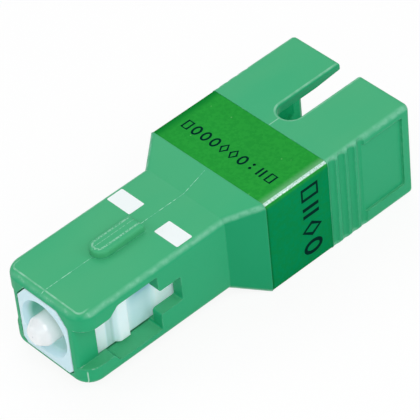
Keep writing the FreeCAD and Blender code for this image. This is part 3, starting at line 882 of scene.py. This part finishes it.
def wire_advance(turns):
    """How far back the wire has come after some turns, with a closed turn at either end."""
    closed = 2 * WIRE_RADIUS
    pitch = (WIRE_END - WIRE_START - 2 * closed) / (SPRING_TURNS - 2)
    if turns < 1:
        return closed * turns
    if turns > SPRING_TURNS - 1:
        return WIRE_END - WIRE_START - closed * (SPRING_TURNS - turns)
    return closed + pitch * (turns - 1)


def wound_wire(bm):
    """A round wire on a helix, whose closed ends are flat."""
    rings = []
    count = round(SPRING_TURNS * RINGS_IN_TURN)
    backward = Vector((1, 0, 0))
    for i in range(count + 1):
        turns = i / RINGS_IN_TURN
        outward = Vector((0, math.sin(2 * math.pi * turns), -math.cos(2 * math.pi * turns)))
        centre = backward * (WIRE_START + wire_advance(turns)) + outward * COIL_RADIUS
        angles = [2 * math.pi * k / RING_POINTS for k in range(RING_POINTS)]
        around = [outward * math.cos(a) + backward * math.sin(a) for a in angles]
        rings.append([bm.verts.new(centre + v * WIRE_RADIUS) for v in around])
    for here, there in zip(rings, rings[1:]):
        for k in range(RING_POINTS):
            after = (k + 1) % RING_POINTS
            bm.faces.new((here[k], here[after], there[after], there[k])).smooth = True
    bm.faces.new(rings[0])
    bm.faces.new(reversed(rings[-1]))


spring = mesh_piece("wound_spring", wound_wire, spring_finish)
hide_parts("ferrule_spring")
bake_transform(spring)

# %% [markdown]
# ## Thin relief on a surface
# Outside, the scene adds the ridge of the moulding line and the ink on the label. They share one shape,
# `ribbon`: a flat band of some width and height that follows a path over a surface, closed or open. A
# curve with a bevel could do it too, but would be round underneath.

# %% Lay a ribbon on a surface
RIBBON_TOP = 0.7


def ribbon(bm, path, up, width, height, closed=False):
    """A band with slanted sides along a path of points, on a surface whose normal is `up` at each."""
    count = len(path)
    rings = []
    for i, point in enumerate(path):
        before = path[i - 1] if closed or i else point
        after = path[(i + 1) % count] if closed or i < count - 1 else point
        side = (after - before).cross(up[i]).normalized() * width / 2
        low = [point - side - up[i] * height, point + side - up[i] * height]
        narrow = side * RIBBON_TOP
        high = [point + narrow + up[i] * height, point - narrow + up[i] * height]
        rings.append([bm.verts.new(v) for v in low + high])
    for i in range(count if closed else count - 1):
        here, there = rings[i], rings[(i + 1) % count]
        for k in range(4):
            bm.faces.new((here[k], here[(k + 1) % 4], there[(k + 1) % 4], there[k]))
    if not closed:
        bm.faces.new(rings[0])
        bm.faces.new(reversed(rings[-1]))


print("ribbon ready")

# %% [markdown]
# ## The moulding line
# The two halves of a mould meet along the middle of the housing, and leave a hair-thin ridge there.
# It runs from the front rim to the key, and from the key over the tapered step to the label. Its path
# isn't typed in: rays are shot at the CAD solid from above, so it follows whatever shape that has.

# %% Shoot rays at the housing to lay the moulding line
LINE_WIDTH = 0.07 * MM
LINE_HEIGHT = 0.012 * MM
RAYS_PER_RUN = 40
shell_tree = BVHTree.FromObject(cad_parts["outer_shell"], bpy.context.evaluated_depsgraph_get())


def over_the_top(x_start, x_end):
    """Points and normals where rays from above meet the housing's middle."""
    points, normals = [], []
    for i in range(RAYS_PER_RUN + 1):
        x = x_start + (x_end - x_start) * i / RAYS_PER_RUN
        hit, normal, _, _ = shell_tree.ray_cast(Vector((x, 0, shell_high.z + MM)), Vector((0, 0, -1)))
        points.append(hit)
        normals.append(Vector((normal.x, 0, normal.z)).normalized())
    return points, normals


def moulding_line(bm):
    """Two runs of the ridge, from the rim to the key and from the key to the label."""
    before_key = (0.08 * MM, KEY_FRONT - 0.02 * MM)
    to_label = (KEY_REAR + 0.02 * MM, label_low.x - 0.3 * MM)
    for start, end in (before_key, to_label):
        points, normals = over_the_top(start, end)
        ribbon(bm, points, normals, LINE_WIDTH, LINE_HEIGHT)


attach(mesh_piece("moulding_line", moulding_line, line_finish), "shell")

# %% [markdown]
# ## The ink on the label
# Ink lies on the film as a layer of about a hundredth of a millimetre. Here it is a row of plain shapes
# (rings, squares, diamonds, bars and dots) across the top, and a larger row up the side. Each shape is a
# list of strokes in a unit square, and a stroke is laid down with the same ribbon. A printed texture
# would need an image, and this stays sharp however close the camera comes.

# %% Plain shapes for the print
def arc_points(centre, radii, count):
    """Points round an ellipse."""
    turn = 2 * math.pi / count
    return [(centre[0] + radii[0] * math.cos(i * turn), centre[1] + radii[1] * math.sin(i * turn))
            for i in range(count)]


RING = [(arc_points((0.5, 0.5), (0.36, 0.46), 24), True)]
SQUARE = [(((0.15, 0.05), (0.85, 0.05), (0.85, 0.95), (0.15, 0.95)), True)]
DIAMOND = [(((0.5, 0.0), (0.9, 0.5), (0.5, 1.0), (0.1, 0.5)), True)]
BARS = [(((0.25, 0.03), (0.25, 0.97)), False), (((0.75, 0.03), (0.75, 0.97)), False)]
DOTS = [(arc_points((0.5, v), (0.05, 0.05), 8), True) for v in (0.25, 0.75)]
TOP_ROW = [SQUARE, BARS, DOTS, RING, DIAMOND, DIAMOND, RING, RING, RING, SQUARE]
SIDE_ROW = [RING, DIAMOND, BARS, SQUARE]


def dark_ink():
    finish = Finish("label_dark_ink", IOR=1.5, Specular_IOR_Level=0.005)
    blotch = finish.noise(0.2 * MM, detail=3)
    finish.set("Base Color", finish.mix(blotch, srgb(0, 38, 32), srgb(2, 48, 42)))
    finish.set("Roughness", 0.35 + 0.15 * blotch)
    finish.bump(blotch, 0.002 * MM)
    return finish.material


ink_finish = dark_ink()
print("rows of", len(TOP_ROW), "and", len(SIDE_ROW), "shapes")

# %% [markdown]
# A row is placed by the corner of its first shape, by the way it reads and by the way its shapes rise.
# These two directions also give the surface's normal, as their cross product. So one function serves
# both faces, where a place typed in for each shape would have to be mended fourteen times.

# %% Print a row of shapes on each face
INK_HEIGHT = 0.006 * MM
TOP_PLACE = (20.33 * MM, -4.92 * MM)
TOP_SIZE = (0.8 * MM, 1.0 * MM)
TOP_PITCH = 1.037 * MM
TOP_STROKE = 0.23 * MM
SIDE_PLACE = (22.85 * MM, -3.5 * MM)
SIDE_SIZE = (1.5 * MM, 1.8 * MM)
SIDE_PITCH = 1.9 * MM
SIDE_STROKE = 0.42 * MM


def print_row(bm, shapes, corner, reading, rising, size, pitch, stroke):
    """Lays shapes along `reading`, each `size` wide and high, on the plane through `corner`."""
    up = reading.cross(rising)
    for i, shape in enumerate(shapes):
        origin = corner + reading * (i * pitch)
        for points, closed in shape:
            path = [origin + reading * (u * size[0]) + rising * (v * size[1]) for u, v in points]
            ribbon(bm, path, [up] * len(path), stroke, INK_HEIGHT, closed)


def top_print(bm):
    """A row across the top of the label, from the near side to the far one."""
    corner = Vector((TOP_PLACE[0], TOP_PLACE[1], label_high.z))
    print_row(bm, TOP_ROW, corner, Vector((0, 1, 0)), Vector((-1, 0, 0)),
              TOP_SIZE, TOP_PITCH, TOP_STROKE)


def side_print(bm):
    """A row up the near side of the label."""
    corner = Vector((SIDE_PLACE[0], label_low.y, SIDE_PLACE[1]))
    print_row(bm, SIDE_ROW, corner, Vector((0, 0, 1)), Vector((-1, 0, 0)),
              SIDE_SIZE, SIDE_PITCH, SIDE_STROKE)


for name, build in (("label_ink_top", top_print), ("label_ink_side", side_print)):
    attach(mesh_piece(name, build, ink_finish), "shell")

# %% [markdown]
# ## Floor, world and light
# The part stands on white. The floor shows white to the camera and to reflections, through the Light
# Path node, and not because lamps are strong: so the colours of the part render as they are written. A
# share of plain diffuse stays in it, which keeps the shadow. The floor is wide enough to fill the view,
# so the world behind it stays a plain dim light.

# %% A white floor that keeps the shadow
FLOOR_WIDTH = 4.0
FLOOR_GAP = 0.01 * MM
FLOOR_GLOW = 0.9
FLOOR_MIDDLE = 17 * MM


def seen_or_mirrored(finish):
    """1 for rays of the camera, of reflections and of clear materials."""
    path = finish.node("ShaderNodeLightPath").output.node
    seen = Socket(finish, path.outputs["Is Camera Ray"])
    mirrored = Socket(finish, path.outputs["Is Glossy Ray"])
    through_glass = Socket(finish, path.outputs["Is Transmission Ray"])
    return finish.least(seen + mirrored + through_glass, 1.0)


def floor_white():
    finish = Finish("floor_white", Roughness=0.9)
    finish.set("Base Color", (0.95, 0.95, 0.95, 1))
    glow = finish.node("ShaderNodeEmission", None, {"Color": (1, 1, 1, 1), "Strength": 1.0})
    matt = Socket(finish, finish.shader.outputs[0])
    inputs = {0: seen_or_mirrored(finish) * FLOOR_GLOW, 1: matt, 2: glow}
    finish.plug(finish.surface, finish.node("ShaderNodeMixShader", None, inputs))
    return finish.material


bpy.ops.mesh.primitive_plane_add(size=FLOOR_WIDTH, location=(FLOOR_MIDDLE, 0, shell_low.z - FLOOR_GAP))
floor = bpy.context.object
floor.name = "floor"
floor.data.materials.append(floor_white())
print("floor of", FLOOR_WIDTH, "m")

# %% [markdown]
# Wide soft boxes in front and above give the even light of a catalogue picture. One is narrow: it stands
# where the label's bent edge mirrors it, and its reflection adds to the fine white line that is painted
# there. A lamp's share on a face falls with the square of its distance, so all of them keep about the
# same distance, and only their powers set the balance between them.

# %% Plain studio light
CENTRE = Vector((16.5 * MM, 0, 0))
LAMP_DISTANCE = 0.35
OVER_THE_EDGE = (0.46, -0.68, 0.57)


def soft_box(name, direction, distance, size, power, along=(0, 0, 1)):
    """A rectangular lamp facing the object from a direction, with its longer side along an axis."""
    data = bpy.data.lights.new(name, "AREA")
    data.shape = "RECTANGLE"
    data.size, data.size_y = size
    data.energy = power
    back = Vector(direction).normalized()
    across = Vector(along).cross(back).normalized()
    turn = Matrix((across, back.cross(across), back)).transposed().to_4x4()
    lamp = bpy.data.objects.new(name, data)
    lamp.matrix_world = Matrix.Translation(CENTRE + back * distance) @ turn
    bpy.context.scene.collection.objects.link(lamp)


soft_box("box_key", (-0.3, -0.5, 0.8), LAMP_DISTANCE, (0.25, 0.25), 0.55)
soft_box("box_above", (0.33, 0.42, 0.85), LAMP_DISTANCE, (0.30, 0.30), 0.38)
soft_box("strip_right", OVER_THE_EDGE, LAMP_DISTANCE, (0.03, 0.16), 0.17, along=(0, 0.64, 0.77))
soft_box("strip_left", (-0.68, 0.57, 0.46), LAMP_DISTANCE, (0.12, 0.12), 0.2)
soft_box("fill_front", (-0.8, -0.5, 0.3), 0.4, (0.30, 0.30), 0.12)
print("lamps:", len(bpy.data.lights))

# %% [markdown]
# The world adds a dim, slightly cool light from all round, for the faces that no lamp reaches. The view
# transform `Standard` shows each colour as it was chosen, where the default one would flatten the greens.

# %% Dim world and plain colours
WORLD_COLOUR = (0.96, 0.98, 1, 1)
WORLD_STRENGTH = 0.33
world = bpy.data.worlds.new("studio")
world.use_nodes = True
background = world.node_tree.nodes["Background"]
background.inputs["Color"].default_value = WORLD_COLOUR
background.inputs["Strength"].default_value = WORLD_STRENGTH
bpy.context.scene.world = world
bpy.context.scene.view_settings.view_transform = "Standard"
print("world strength", WORLD_STRENGTH)

# %% [markdown]
# ## The camera
# The photograph looks down at the plug end from its right, with a long lens, so that parallel edges
# hardly converge. Three things give the camera: where it stands, which way is right in the picture, and
# how long the lens is. Building the rotation from the picture's own axes keeps the slight roll, which
# aiming the camera at a point would lose.

# %% Camera from the picture's axes
CAMERA_PLACE = Vector((-97.48, -141.41, 169.0)) * MM
PICTURE_RIGHT = Vector((0.7262, -0.6829, -0.0787))
PICTURE_DOWN = Vector((-0.509, -0.4572, -0.7293))
LENS_LENGTH = 273.2
FILM_WIDTH = 36
camera_data = bpy.data.cameras.new("camera")
camera_data.lens = LENS_LENGTH
camera_data.sensor_width = FILM_WIDTH
camera_data.clip_start = 10 * MM
camera = bpy.data.objects.new("camera", camera_data)
right = PICTURE_RIGHT.normalized()
ahead = right.cross(PICTURE_DOWN).normalized()
down = ahead.cross(right)
turn = Matrix((right, -down, -ahead)).transposed().to_4x4()
camera.matrix_world = Matrix.Translation(CAMERA_PLACE) @ turn
bpy.context.scene.collection.objects.link(camera)
bpy.context.scene.camera = camera
print("the camera looks along", [round(v, 3) for v in ahead])
